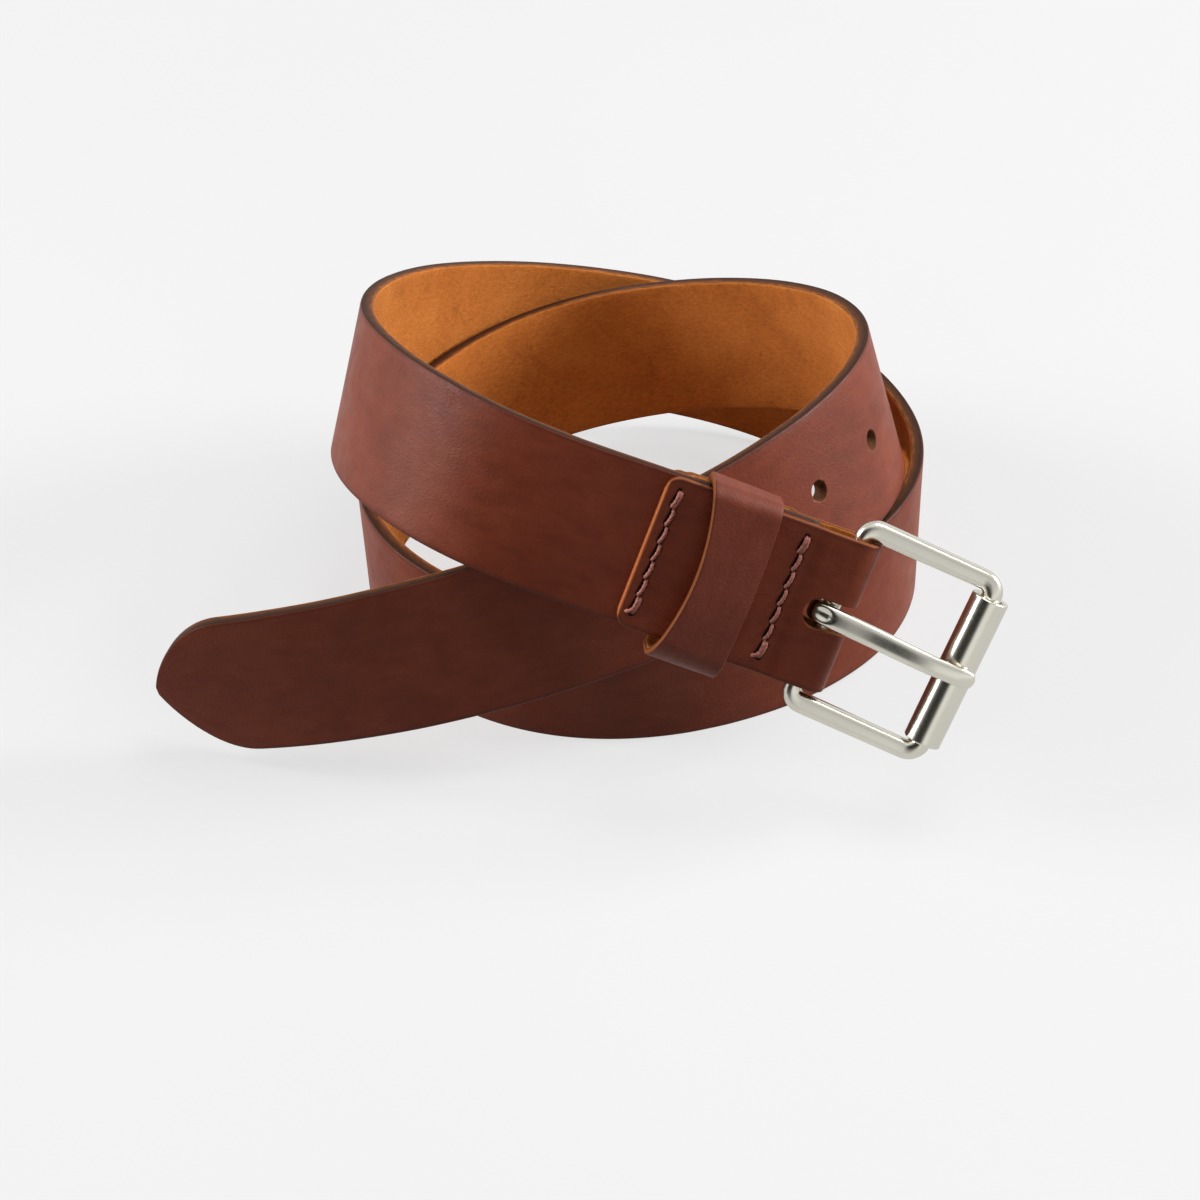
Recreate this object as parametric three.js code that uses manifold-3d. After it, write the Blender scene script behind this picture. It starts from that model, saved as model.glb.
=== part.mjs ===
// A leather belt with a roller buckle, coiled twice and standing on the edges of its coil.
// Units are millimetres and +Z is up. The origin is below the middle of the belt's bounding box.

import * as THREE from 'three';
import { mergeVertices } from 'three/addons/utils/BufferGeometryUtils.js';
import Module from 'manifold-3d';

// Strap
const STRAP_WIDTH = 38;
const STRAP_THICKNESS = 3.5;
const STRAP_BEVEL = 0.5;
const STRAP_STEP = 9;
const TIP_LENGTH = 22;
const TIP_ROUNDNESS = 0.8;
const TIP_BLUNT = 0.5;
const TIP_SHARES = [0.06, 0.14, 0.25, 0.4, 0.6, 0.8];
const HOLE_RADIUS = 2.5;
const HOLE_SIDES = 20;
const HOLE_PITCH = 25;
const HOLE_COUNT = 5;
const FIRST_HOLE = 124.5;
const FLOOR_CUT = 0.6;

// Route of the strap's middle line from the tip to the heel of the buckle.
// Each row is x, y, z and the lean in degrees: a positive lean tips the upper edge outward.
const ROUTE = [
  [-185, -18, -2, 24],
  [-106, -64, 18, 3],
  [-33, -70, 39, -14],
  [26, -55, 54, -19],
  [60, -24, 58, -27],
  [75, 11, 56, -17],
  [64, 47, 47, -6],
  [31, 70, 35, 4],
  [-12, 73, 25, 14],
  [-47, 48, 20, 8],
  [-63, 6, 19, 5],
  [-52, -31, 19, -1],
  [-17, -56, 19, -2],
  [27, -54, 19, -2],
  [72, -26, 20, -6],
  [88, 22, 19, 2],
  [60, 73, 19, 7],
  [2, 87, 27, 13],
  [-52, 61, 45, 4],
  [-68, 1, 69, -14],
  [-44, -48, 81, -33],
  [-15, -64, 76, -23],
  [21, -67, 64, -23],
  [56.5, -70.6, 50.5, -23],
  [92.2, -73.9, 37.8, -23],
];
const SAMPLES_PER_SPAN = 40;

// Chape: the separate tab that folds round the buckle's heel bar and is sewn over the strap's end.
const GAP = 0.3;
const CHAPE_WIDTH = 37.6;
const LEAF_THICKNESS = 2.3;
const CHAPE_LENGTH = 47;
const CHAPE_CORNER = 3.5;
const CHAPE_CORNER_STEPS = 6;
const FOLD_STEPS = 14;
const HEEL_BACK = 3.5;
const STRAP_END = 9.8;
const FOLD_PLAY = 0.4;
const FOLD_SHIFT = 1;
const POCKET_LENGTH = 6;
const POCKET_RAMP = 4;
const SLOT_WIDTH = 7.5;
const SLOT_LENGTH = 6.6;
const SLOT_SIDES = 10;
const HUMP_START = 15.5;
const HUMP_END = 41.5;
const HUMP_RAMP = 2.2;

// Keeper: the fixed leather loop between the two rows of stitches.
const KEEPER_THICKNESS = 1.8;
const KEEPER_BEVEL = 0.3;
const KEEPER_CORNERS = { back: 2, top: 3, bottom: 5.5 };
const KEEPER_STEPS = { arc: 5, straight: 4 };
const KEEPER_NEAR = { along: -19.9, top: 20.4, bottom: -23, front: 6.5, crown: 0.5, bow: 0.8 };
const KEEPER_FAR = { along: -37.4, top: 20.8, bottom: -22.5, front: 9, crown: 1.4, bow: 3.6 };

// Stitches
const THREAD_RADIUS = 0.45;
const STITCH_HOLE_RADIUS = 0.8;
const STITCH_COUNT = 7;
const STITCH_PITCH = 4.45;
const ROW_TOP = 15.8;
const ROWS = { buckle: -12.2, edge: -43.6 };
const THREAD_SIDES = 8;

// Buckle
const BUCKLE_SHIFT = -0.5;
const BUCKLE_SKEW = 3;
const BUCKLE_SWING = 8;
const HEEL_RADIUS = 2.2;
const FRAME_LENGTH = 32.8;
const FRAME_HALF_WIDTH = 22.4;
const HEEL_CORNER = 3.2;
const FRONT_CORNER = 3.4;
const CORNER_STEPS = 4;
const SIDE_HALF_WIDTH = 2.5;
const SIDE_HALF_THICKNESS = 2.1;
const SIDE_SQUARENESS = 0.6;
const FRONT_BAR_RADIUS = 2.5;
const ROLLER_RADIUS = 4.5;
const ROLLER_BORE = 3;
const ROLLER_LENGTH = 38;
const ROLLER_BEVEL = 0.4;
const ROLLER_SIDES = 24;
const PRONG_HALF_WIDTH = 2.5;
const PRONG_TIP_HALF_WIDTH = 2.1;
const PRONG_HALF_THICKNESS = 1.2;
const PRONG_SQUARENESS = 2.4;
const PRONG_SIDES = 10;
const PRONG_THINNING = 0.25;
const PRONG_ARCH = 1;
const PRONG_DROP = 1.2;
const PRONG_OVERHANG = 4.4;
const PRONG_CURL_START = 290;
const PRONG_CURL_STEP = 20;
const PRONG_SHANK_STEPS = 14;

// Cutters reach well past the leather on both sides.
const CUTTER_DEPTH = 18;
const CUTTER_REACH = 9;

const radians = THREE.MathUtils.degToRad;
const lerp = THREE.MathUtils.lerp;
const UP = new THREE.Vector3(0, 0, 1);

const wasm = await Module();
wasm.setup();

// ---- solids and meshes ----

function toSolid(geometry) {
  const bare = geometry.clone();
  bare.deleteAttribute('normal');
  bare.deleteAttribute('uv');
  const merged = mergeVertices(bare, 1e-4);
  const mesh = new wasm.Mesh({
    numProp: 3,
    vertProperties: new Float32Array(merged.attributes.position.array),
    triVerts: new Uint32Array(merged.index.array),
  });
  return new wasm.Manifold(mesh);
}

function toGeometry(solid) {
  const mesh = solid.getMesh();
  const geometry = new THREE.BufferGeometry();
  geometry.setAttribute('position', new THREE.BufferAttribute(mesh.vertProperties, 3));
  geometry.setIndex(new THREE.BufferAttribute(mesh.triVerts, 1));
  return geometry;
}

function cutAway(geometry, cutters) {
  let solid = toSolid(geometry);
  for (const cutter of cutters) {
    solid = solid.subtract(toSolid(cutter));
  }
  return toGeometry(solid);
}

// A closed skin over rings of points that turn counter-clockwise about the direction of travel.
function skin(rings, isLoop = false) {
  const count = rings[0].length;
  const triangles = [];
  const spans = isLoop ? rings.length : rings.length - 1;
  for (let i = 0; i < spans; i += 1) {
    const here = i * count;
    const next = ((i + 1) % rings.length) * count;
    for (let j = 0; j < count; j += 1) {
      const k = (j + 1) % count;
      triangles.push(here + j, here + k, next + k, here + j, next + k, next + j);
    }
  }
  if (!isLoop) {
    const last = (rings.length - 1) * count;
    for (let j = 1; j < count - 1; j += 1) {
      triangles.push(0, j + 1, j, last, last + j, last + j + 1);
    }
  }
  const geometry = new THREE.BufferGeometry();
  const positions = rings.flat().flatMap((point) => point.toArray());
  geometry.setAttribute('position', new THREE.Float32BufferAttribute(positions, 3));
  geometry.setIndex(triangles);
  return geometry;
}

function ringPoint(centre, across, normal, x, y) {
  return centre.clone().addScaledVector(across, x).addScaledVector(normal, y);
}

// The bevelled rectangular section of a leather band.
function bandRing(centre, across, normal, halfWidth, halfThickness, bevel) {
  const corner = Math.min(bevel, halfWidth / 2);
  const outline = [
    [halfWidth, corner - halfThickness],
    [halfWidth, halfThickness - corner],
    [halfWidth - corner, halfThickness],
    [corner - halfWidth, halfThickness],
    [-halfWidth, halfThickness - corner],
    [-halfWidth, corner - halfThickness],
    [corner - halfWidth, -halfThickness],
    [halfWidth - corner, -halfThickness],
  ];
  return outline.map(([x, y]) => ringPoint(centre, across, normal, x, y));
}

// A rounded section: power 2 is an ellipse, and a higher power is squarer.
function roundRing(centre, across, normal, halfWidth, halfThickness, power = 2, sides = 12) {
  const ring = [];
  for (let i = 0; i < sides; i += 1) {
    const angle = (2 * Math.PI * (i + 0.5)) / sides;
    const x = Math.sign(Math.cos(angle)) * Math.abs(Math.cos(angle)) ** (2 / power);
    const y = Math.sign(Math.sin(angle)) * Math.abs(Math.sin(angle)) ** (2 / power);
    ring.push(ringPoint(centre, across, normal, halfWidth * x, halfThickness * y));
  }
  return ring;
}

function namedMesh(name, geometry, material) {
  const mesh = new THREE.Mesh(geometry, material);
  mesh.name = name;
  return mesh;
}

// ---- route ----

// Place, tangent, width direction and grain-side normal of the strap on one span of the route.
function frameOnSpan(span, t) {
  const rows = ROUTE.slice(span, span + 4);
  const weights = [
    (1 - t) ** 3,
    3 * t ** 3 - 6 * t ** 2 + 4,
    -3 * t ** 3 + 3 * t ** 2 + 3 * t + 1,
    t ** 3,
  ];
  const slopes = [-((1 - t) ** 2), 3 * t ** 2 - 4 * t, -3 * t ** 2 + 2 * t + 1, t ** 2];
  const mix = (factors, column) => rows.reduce((sum, row, i) => sum + factors[i] * row[column], 0);
  const centre = new THREE.Vector3(mix(weights, 0), mix(weights, 1), mix(weights, 2)).divideScalar(6);
  const along = new THREE.Vector3(mix(slopes, 0), mix(slopes, 1), mix(slopes, 2)).normalize();
  const lean = radians(mix(weights, 3) / 6);
  const upright = UP.clone().addScaledVector(along, -along.z).normalize();
  const level = along.clone().cross(upright);
  const across = upright.multiplyScalar(Math.cos(lean)).addScaledVector(level, Math.sin(lean));
  const normal = along.clone().cross(across);
  return { centre, along, across, normal };
}

function measureRoute() {
  const spans = ROUTE.length - 3;
  const lengths = [0];
  let before = frameOnSpan(0, 0).centre;
  for (let i = 1; i <= spans * SAMPLES_PER_SPAN; i += 1) {
    const here = frameAtSample(i).centre;
    lengths.push(lengths[i - 1] + here.distanceTo(before));
    before = here;
  }
  return lengths;
}

function frameAtSample(sample) {
  const span = Math.min(Math.floor(sample / SAMPLES_PER_SPAN), ROUTE.length - 4);
  return frameOnSpan(span, sample / SAMPLES_PER_SPAN - span);
}

const ROUTE_LENGTHS = measureRoute();
const ROUTE_LENGTH = ROUTE_LENGTHS.at(-1);

function frameAtDistance(distance) {
  const upper = Math.max(1, ROUTE_LENGTHS.findIndex((length) => length >= distance));
  const low = ROUTE_LENGTHS[upper - 1];
  const share = (distance - low) / (ROUTE_LENGTHS[upper] - low);
  return frameAtSample(upper - 1 + share);
}

// ---- placing the chape and the buckle ----

// The chape's own axes are x along the strap towards the buckle, y across it and z out of its
// face, with the origin on the heel bar's middle line.
function chapeMatrix() {
  const end = frameAtDistance(ROUTE_LENGTH);
  const origin = end.centre.clone().addScaledVector(end.along, -HEEL_BACK);
  return new THREE.Matrix4().makeBasis(end.along, end.across, end.normal).setPosition(origin);
}

const CHAPE_PLACE = chapeMatrix();

// ---- strap ----

function tipHalfWidth(distance) {
  const share = Math.min(distance / TIP_LENGTH, 1);
  return (STRAP_WIDTH / 2) * (1 - (1 - share) ** 2) ** TIP_ROUNDNESS;
}

function strapStations() {
  const length = ROUTE_LENGTH - HEEL_BACK - STRAP_END;
  const stations = [TIP_BLUNT, ...TIP_SHARES.map((share) => share * TIP_LENGTH)];
  const steps = Math.round((length - TIP_LENGTH) / STRAP_STEP);
  for (let i = 0; i <= steps; i += 1) {
    stations.push(lerp(TIP_LENGTH, length, i / steps));
  }
  return stations;
}

function punchedHole(distance) {
  const { centre, along, across, normal } = frameAtDistance(distance);
  const cutter = new THREE.CylinderGeometry(HOLE_RADIUS, HOLE_RADIUS, CUTTER_DEPTH, HOLE_SIDES);
  return cutter.applyMatrix4(new THREE.Matrix4().makeBasis(across, normal, along).setPosition(centre));
}

function floorCutter(geometry) {
  geometry.computeBoundingBox();
  const { min, max } = geometry.boundingBox;
  const size = max.clone().sub(min);
  const cutter = new THREE.BoxGeometry(2 * size.x, 2 * size.y, size.z);
  cutter.translate((min.x + max.x) / 2, (min.y + max.y) / 2, min.z + FLOOR_CUT - size.z / 2);
  return cutter;
}

function strapGeometry() {
  const rings = strapStations().map((distance) => {
    const { centre, across, normal } = frameAtDistance(distance);
    const halfWidth = tipHalfWidth(distance);
    return bandRing(centre, across, normal, halfWidth, STRAP_THICKNESS / 2, STRAP_BEVEL);
  });
  const band = skin(rings);
  const cutters = [floorCutter(band)];
  for (let i = 0; i < HOLE_COUNT; i += 1) {
    cutters.push(punchedHole(FIRST_HOLE + i * HOLE_PITCH));
  }
  for (const cutter of stitchHoles()) {
    cutters.push(cutter.applyMatrix4(CHAPE_PLACE));
  }
  return cutAway(band, cutters);
}

// ---- chape ----

function threadRod(radius, length) {
  return new THREE.CylinderGeometry(radius, radius, length, THREAD_SIDES);
}

// The side view of the folded tab, with its back leaf humped over the keeper.
function chapeProfile() {
  const inner = STRAP_THICKNESS / 2 + GAP;
  const outer = inner + LEAF_THICKNESS;
  const pocket = HEEL_RADIUS + FOLD_PLAY;
  const fold = pocket + LEAF_THICKNESS;
  const lift = KEEPER_THICKNESS + GAP;
  const shape = new THREE.Shape();
  shape.moveTo(-CHAPE_LENGTH, outer);
  shape.lineTo(-CHAPE_LENGTH, inner);
  shape.lineTo(-POCKET_LENGTH - POCKET_RAMP, inner);
  shape.lineTo(-POCKET_LENGTH, pocket);
  shape.absarc(FOLD_SHIFT, 0, pocket, Math.PI / 2, -Math.PI / 2, true);
  shape.lineTo(-POCKET_LENGTH, -pocket);
  shape.lineTo(-POCKET_LENGTH - POCKET_RAMP, -inner);
  shape.lineTo(-HUMP_START, -inner);
  shape.lineTo(-HUMP_START - HUMP_RAMP, -inner - lift);
  shape.lineTo(-HUMP_END + HUMP_RAMP, -inner - lift);
  shape.lineTo(-HUMP_END, -inner);
  shape.lineTo(-CHAPE_LENGTH, -inner);
  shape.lineTo(-CHAPE_LENGTH, -outer);
  shape.lineTo(-HUMP_END - HUMP_RAMP / 2, -outer);
  shape.lineTo(-HUMP_END + HUMP_RAMP / 2, -outer - lift);
  shape.lineTo(-HUMP_START - HUMP_RAMP / 2, -outer - lift);
  shape.lineTo(-HUMP_START + HUMP_RAMP / 2, -outer);
  shape.lineTo(-POCKET_LENGTH - POCKET_RAMP, -outer);
  shape.lineTo(-POCKET_LENGTH, -fold);
  shape.absarc(FOLD_SHIFT, 0, fold, -Math.PI / 2, Math.PI / 2, false);
  shape.lineTo(-POCKET_LENGTH, fold);
  shape.lineTo(-POCKET_LENGTH - POCKET_RAMP, outer);
  shape.closePath();
  return shape;
}

// The face view of the tab: a rectangle with its two far corners rounded.
function chapeOutline() {
  const half = CHAPE_WIDTH / 2;
  const far = -CHAPE_LENGTH;
  const shape = new THREE.Shape();
  shape.moveTo(CUTTER_REACH, -half);
  shape.lineTo(CUTTER_REACH, half);
  shape.lineTo(far + CHAPE_CORNER, half);
  shape.absarc(far + CHAPE_CORNER, half - CHAPE_CORNER, CHAPE_CORNER, Math.PI / 2, Math.PI, false);
  shape.absarc(far + CHAPE_CORNER, CHAPE_CORNER - half, CHAPE_CORNER, Math.PI, 1.5 * Math.PI, false);
  shape.closePath();
  return shape;
}

function slotOutline() {
  const radius = SLOT_WIDTH / 2;
  const middle = radius - SLOT_LENGTH;
  const shape = new THREE.Shape();
  shape.moveTo(CUTTER_REACH, BUCKLE_SHIFT - radius);
  shape.lineTo(CUTTER_REACH, BUCKLE_SHIFT + radius);
  shape.lineTo(middle, BUCKLE_SHIFT + radius);
  shape.absarc(middle, BUCKLE_SHIFT, radius, Math.PI / 2, 1.5 * Math.PI, false);
  shape.closePath();
  return shape;
}

function facePunch(outline, curveSegments) {
  const settings = { depth: CUTTER_DEPTH, bevelEnabled: false, curveSegments };
  return new THREE.ExtrudeGeometry(outline, settings).translate(0, 0, -CUTTER_DEPTH / 2);
}

function stitchHoles() {
  const holes = [];
  for (const row of Object.values(ROWS)) {
    for (let i = 0; i <= STITCH_COUNT; i += 1) {
      const hole = threadRod(STITCH_HOLE_RADIUS, CUTTER_DEPTH);
      hole.rotateX(Math.PI / 2);
      holes.push(hole.translate(row, ROW_TOP - i * STITCH_PITCH, 0));
    }
  }
  return holes;
}

function chapeGeometry() {
  const wide = 2 * CHAPE_WIDTH;
  const settings = { depth: wide, bevelEnabled: false, curveSegments: FOLD_STEPS };
  const folded = new THREE.ExtrudeGeometry(chapeProfile(), settings);
  folded.rotateX(Math.PI / 2).translate(0, wide / 2, 0);
  const outline = toSolid(facePunch(chapeOutline(), CHAPE_CORNER_STEPS));
  const trimmed = toGeometry(toSolid(folded).intersect(outline));
  return cutAway(trimmed, [facePunch(slotOutline(), SLOT_SIDES), ...stitchHoles()]);
}

// ---- keeper ----

// The loop's centreline at one edge of the band: up behind the strap, over and down in front.
function keeperEdge({ along, top, bottom, front, crown, bow }) {
  const back = -(STRAP_THICKNESS / 2 + GAP + KEEPER_THICKNESS / 2);
  const { back: small, top: upper } = KEEPER_CORNERS;
  const lower = Math.min(KEEPER_CORNERS.bottom, (front - back) / 2);
  const path = new THREE.Path();
  path.absarc(top - small, back + small, small, -Math.PI / 2, 0, false);
  path.absarc(top - upper, front - upper, upper, 0, Math.PI / 2, false);
  path.absarc(bottom + lower, front - lower, lower, Math.PI / 2, Math.PI, false);
  path.absarc(bottom + small, back + small, small, Math.PI, 1.5 * Math.PI, false);
  path.closePath();
  const { arc, straight } = KEEPER_STEPS;
  const corners = path.curves.map((curve) => {
    const steps = curve.isEllipseCurve ? arc : straight;
    return curve.getPoints(steps).slice(0, -1);
  });
  return corners.flat().map(({ x: height, y: depth }) => {
    const arch = (4 * (top - height) * (height - bottom)) / (top - bottom) ** 2;
    const rise = (depth - back) / (front - back);
    return new THREE.Vector3(along + bow * arch * rise, height, depth + crown * arch * rise ** 4);
  });
}

function keeperGeometry() {
  const near = keeperEdge(KEEPER_NEAR);
  const far = keeperEdge(KEEPER_FAR);
  const middles = near.map((point, i) => point.clone().lerp(far[i], 0.5));
  const count = middles.length;
  const rings = middles.map((middle, i) => {
    const travel = middles[(i + 1) % count].clone().sub(middles[(i + count - 1) % count]);
    const across = near[i].clone().sub(far[i]);
    const halfWidth = across.length() / 2;
    across.normalize();
    const normal = travel.cross(across).normalize();
    return bandRing(middle, across, normal, halfWidth, KEEPER_THICKNESS / 2, KEEPER_BEVEL);
  });
  return skin(rings, true);
}

// ---- stitches ----

// One thread of a lockstitched row: a run along the leaf with a leg down each hole.
function threadGeometry(row, side) {
  const face = STRAP_THICKNESS / 2 + GAP + LEAF_THICKNESS;
  const height = face + GAP + THREAD_RADIUS;
  const bottom = ROW_TOP - STITCH_COUNT * STITCH_PITCH;
  const run = threadRod(THREAD_RADIUS, ROW_TOP - bottom);
  run.translate(row, (ROW_TOP + bottom) / 2, side * height);
  let thread = toSolid(run);
  for (let i = 0; i <= STITCH_COUNT; i += 1) {
    const leg = threadRod(THREAD_RADIUS, height - GAP);
    leg.rotateX(Math.PI / 2);
    leg.translate(row, ROW_TOP - i * STITCH_PITCH, (side * (height + GAP)) / 2);
    thread = thread.add(toSolid(leg));
  }
  return toGeometry(thread);
}

// ---- buckle ----

function frameCorner(x, y, radius, start) {
  const stations = [];
  for (let i = 0; i <= CORNER_STEPS; i += 1) {
    const angle = radians(start + (90 * i) / CORNER_STEPS);
    const out = new THREE.Vector3(Math.cos(angle), Math.sin(angle), 0);
    stations.push({ centre: new THREE.Vector3(x, y, 0).addScaledVector(out, radius), out });
  }
  return stations;
}

// The frame's section is round on the heel and front bars and flattened on the side bars.
function frameRing({ centre, out }) {
  const sideways = Math.abs(out.y) ** 2;
  const barRadius = centre.x > FRAME_LENGTH / 2 ? FRONT_BAR_RADIUS : HEEL_RADIUS;
  const halfWidth = lerp(barRadius, SIDE_HALF_WIDTH, sideways);
  const halfThickness = lerp(barRadius, SIDE_HALF_THICKNESS, sideways);
  const power = 2 + SIDE_SQUARENESS * sideways;
  return roundRing(centre, out.clone().negate(), UP, halfWidth, halfThickness, power);
}

function frameGeometry() {
  const heelY = FRAME_HALF_WIDTH - HEEL_CORNER;
  const frontY = FRAME_HALF_WIDTH - FRONT_CORNER;
  const frontX = FRAME_LENGTH - FRONT_CORNER;
  const stations = [
    ...frameCorner(frontX, -frontY, FRONT_CORNER, -90),
    ...frameCorner(frontX, frontY, FRONT_CORNER, 0),
    ...frameCorner(HEEL_CORNER, heelY, HEEL_CORNER, 90),
    ...frameCorner(HEEL_CORNER, -heelY, HEEL_CORNER, 180),
  ];
  return skin(stations.map(frameRing), true);
}

function rollerGeometry() {
  const half = ROLLER_LENGTH / 2;
  const profile = [
    [ROLLER_BORE, -half],
    [ROLLER_RADIUS - ROLLER_BEVEL, -half],
    [ROLLER_RADIUS, ROLLER_BEVEL - half],
    [ROLLER_RADIUS, half - ROLLER_BEVEL],
    [ROLLER_RADIUS - ROLLER_BEVEL, half],
    [ROLLER_BORE, half],
    [ROLLER_BORE, -half],
  ];
  return new THREE.LatheGeometry(profile.map(([r, y]) => new THREE.Vector2(r, y)), ROLLER_SIDES);
}

// The prong curls round the heel bar, rises along its shank and bends down over the roller.
function prongStations() {
  const curl = HEEL_RADIUS + GAP + PRONG_HALF_THICKNESS;
  const rest = ROLLER_RADIUS + GAP + PRONG_HALF_THICKNESS;
  const stations = [];
  for (let angle = PRONG_CURL_START; angle > 90; angle -= PRONG_CURL_STEP) {
    const out = new THREE.Vector3(Math.cos(radians(angle)), 0, Math.sin(radians(angle)));
    stations.push({ centre: out.clone().multiplyScalar(curl), normal: out, share: 0 });
  }
  const shank = new THREE.CatmullRomCurve3([
    new THREE.Vector3(0, 0, curl),
    new THREE.Vector3(FRAME_LENGTH * 0.35, 0, curl + PRONG_ARCH),
    new THREE.Vector3(FRAME_LENGTH * 0.75, 0, rest + GAP),
    new THREE.Vector3(FRAME_LENGTH, 0, rest + GAP / 3),
    new THREE.Vector3(FRAME_LENGTH + PRONG_OVERHANG, 0, rest - PRONG_DROP),
  ]);
  for (let i = 0; i <= PRONG_SHANK_STEPS; i += 1) {
    const share = i / PRONG_SHANK_STEPS;
    const tangent = shank.getTangent(share);
    const normal = new THREE.Vector3(-tangent.z, 0, tangent.x);
    stations.push({ centre: shank.getPoint(share), normal, share });
  }
  return stations;
}

function prongGeometry() {
  const across = new THREE.Vector3(0, 1, 0);
  const rings = prongStations().map(({ centre, normal, share }) => {
    const halfWidth = lerp(PRONG_HALF_WIDTH, PRONG_TIP_HALF_WIDTH, share ** 3);
    const halfThickness = PRONG_HALF_THICKNESS * (1 - PRONG_THINNING * share ** 4);
    return roundRing(centre, across, normal, halfWidth, halfThickness, PRONG_SQUARENESS, PRONG_SIDES);
  });
  return skin(rings);
}

// ---- materials ----

const strapLeather = () => new THREE.MeshStandardMaterial({ color: 0x75402f, roughness: 0.55 });
const chapeLeather = () => new THREE.MeshStandardMaterial({ color: 0x7d4433, roughness: 0.55 });
const keeperLeather = () => new THREE.MeshStandardMaterial({ color: 0x85503f, roughness: 0.55 });
const waxedThread = () => new THREE.MeshStandardMaterial({ color: 0xa9655a, roughness: 0.7 });
const satinNickel = () =>
  new THREE.MeshStandardMaterial({ color: 0xbab9ac, roughness: 0.3, metalness: 1 });

// ---- assembly ----

function buckleGroup() {
  const buckle = new THREE.Group();
  buckle.position.y = BUCKLE_SHIFT;
  buckle.rotation.set(0, -radians(BUCKLE_SWING), -radians(BUCKLE_SKEW), 'ZYX');
  const roller = namedMesh('roller', rollerGeometry(), satinNickel());
  roller.position.x = FRAME_LENGTH;
  buckle.add(namedMesh('buckle_frame', frameGeometry(), satinNickel()));
  buckle.add(roller);
  buckle.add(namedMesh('prong', prongGeometry(), satinNickel()));
  return buckle;
}

function chapeGroup() {
  const end = new THREE.Group();
  end.applyMatrix4(CHAPE_PLACE);
  end.add(namedMesh('chape', chapeGeometry(), chapeLeather()));
  end.add(namedMesh('keeper', keeperGeometry(), keeperLeather()));
  for (const [name, row] of Object.entries(ROWS)) {
    end.add(namedMesh(`${name}_row_face_thread`, threadGeometry(row, 1), waxedThread()));
    end.add(namedMesh(`${name}_row_back_thread`, threadGeometry(row, -1), waxedThread()));
  }
  end.add(buckleGroup());
  return end;
}

const belt = new THREE.Group();
belt.add(namedMesh('strap', strapGeometry(), strapLeather()));
belt.add(chapeGroup());

belt.updateMatrixWorld(true);
const bounds = new THREE.Box3().setFromObject(belt, true);
belt.position.set(-(bounds.min.x + bounds.max.x) / 2, -(bounds.min.y + bounds.max.y) / 2, -bounds.min.z);

export default belt;
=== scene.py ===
import math
import random

import bpy
import numpy as np
from mathutils import Matrix, Vector, noise


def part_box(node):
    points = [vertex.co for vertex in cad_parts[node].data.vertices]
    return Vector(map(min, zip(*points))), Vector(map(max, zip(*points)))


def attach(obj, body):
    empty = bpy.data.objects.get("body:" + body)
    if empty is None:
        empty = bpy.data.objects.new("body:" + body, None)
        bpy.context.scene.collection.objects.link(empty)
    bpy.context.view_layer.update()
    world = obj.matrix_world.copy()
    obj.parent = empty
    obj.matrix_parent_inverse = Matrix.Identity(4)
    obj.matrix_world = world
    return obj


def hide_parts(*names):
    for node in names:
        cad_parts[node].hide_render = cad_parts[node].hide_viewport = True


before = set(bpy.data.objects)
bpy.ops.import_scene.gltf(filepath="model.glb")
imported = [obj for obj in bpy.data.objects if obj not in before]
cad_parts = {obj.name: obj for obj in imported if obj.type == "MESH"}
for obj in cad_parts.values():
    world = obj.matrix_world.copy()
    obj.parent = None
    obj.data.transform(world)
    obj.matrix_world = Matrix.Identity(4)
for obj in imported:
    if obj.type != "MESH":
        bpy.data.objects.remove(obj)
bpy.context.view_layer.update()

# A coiled leather belt with a roller buckle. Every length is in metres.

random.seed(11)

# ---- the belt's own dimensions ----

# Route of the strap's middle line: x, y, z, and the lean in degrees.
ROUTE = np.array([
    [-0.185, -0.018, -0.002, 24],
    [-0.106, -0.064, 0.018, 3],
    [-0.033, -0.070, 0.039, -14],
    [0.026, -0.055, 0.054, -19],
    [0.060, -0.024, 0.058, -27],
    [0.075, 0.011, 0.056, -17],
    [0.064, 0.047, 0.047, -6],
    [0.031, 0.070, 0.035, 4],
    [-0.012, 0.073, 0.025, 14],
    [-0.047, 0.048, 0.020, 8],
    [-0.063, 0.006, 0.019, 5],
    [-0.052, -0.031, 0.019, -1],
    [-0.017, -0.056, 0.019, -2],
    [0.027, -0.054, 0.019, -2],
    [0.072, -0.026, 0.020, -6],
    [0.088, 0.022, 0.019, 2],
    [0.060, 0.073, 0.019, 7],
    [0.002, 0.087, 0.027, 13],
    [-0.052, 0.061, 0.045, 4],
    [-0.068, 0.001, 0.069, -14],
    [-0.044, -0.048, 0.081, -33],
    [-0.015, -0.064, 0.076, -23],
    [0.021, -0.067, 0.064, -23],
    [0.0565, -0.0706, 0.0505, -23],
    [0.0922, -0.0739, 0.0378, -23],
])
SPLINE_SAMPLES = 40

STRAP_WIDTH = 0.038
STRAP_THICKNESS = 0.0035
STRAP_CORNER = 0.0007
STRAP_BEVEL = 0.0005
STATION_PITCH = 0.009
TIP_LENGTH = 0.022
TIP_ROUNDNESS = 0.8
TIP_BLUNT = 0.0005
TIP_SHARES = (0.06, 0.14, 0.25, 0.4, 0.6, 0.8)
FLOOR_CLEARANCE = 0.00002
HOLE_RADIUS = 0.0025
HOLE_PITCH = 0.025
HOLE_COUNT = 5
PUNCH_SIDES = 40
FIRST_HOLE = 0.1245
# Each punch as (depth in strap thicknesses, radius in hole radii), from the flesh side up.
PUNCH_PROFILE = ((-3, 0.82), (-0.5, 0.82), (0.42, 1.0), (0.5, 1.07), (3, 1.07))

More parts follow.
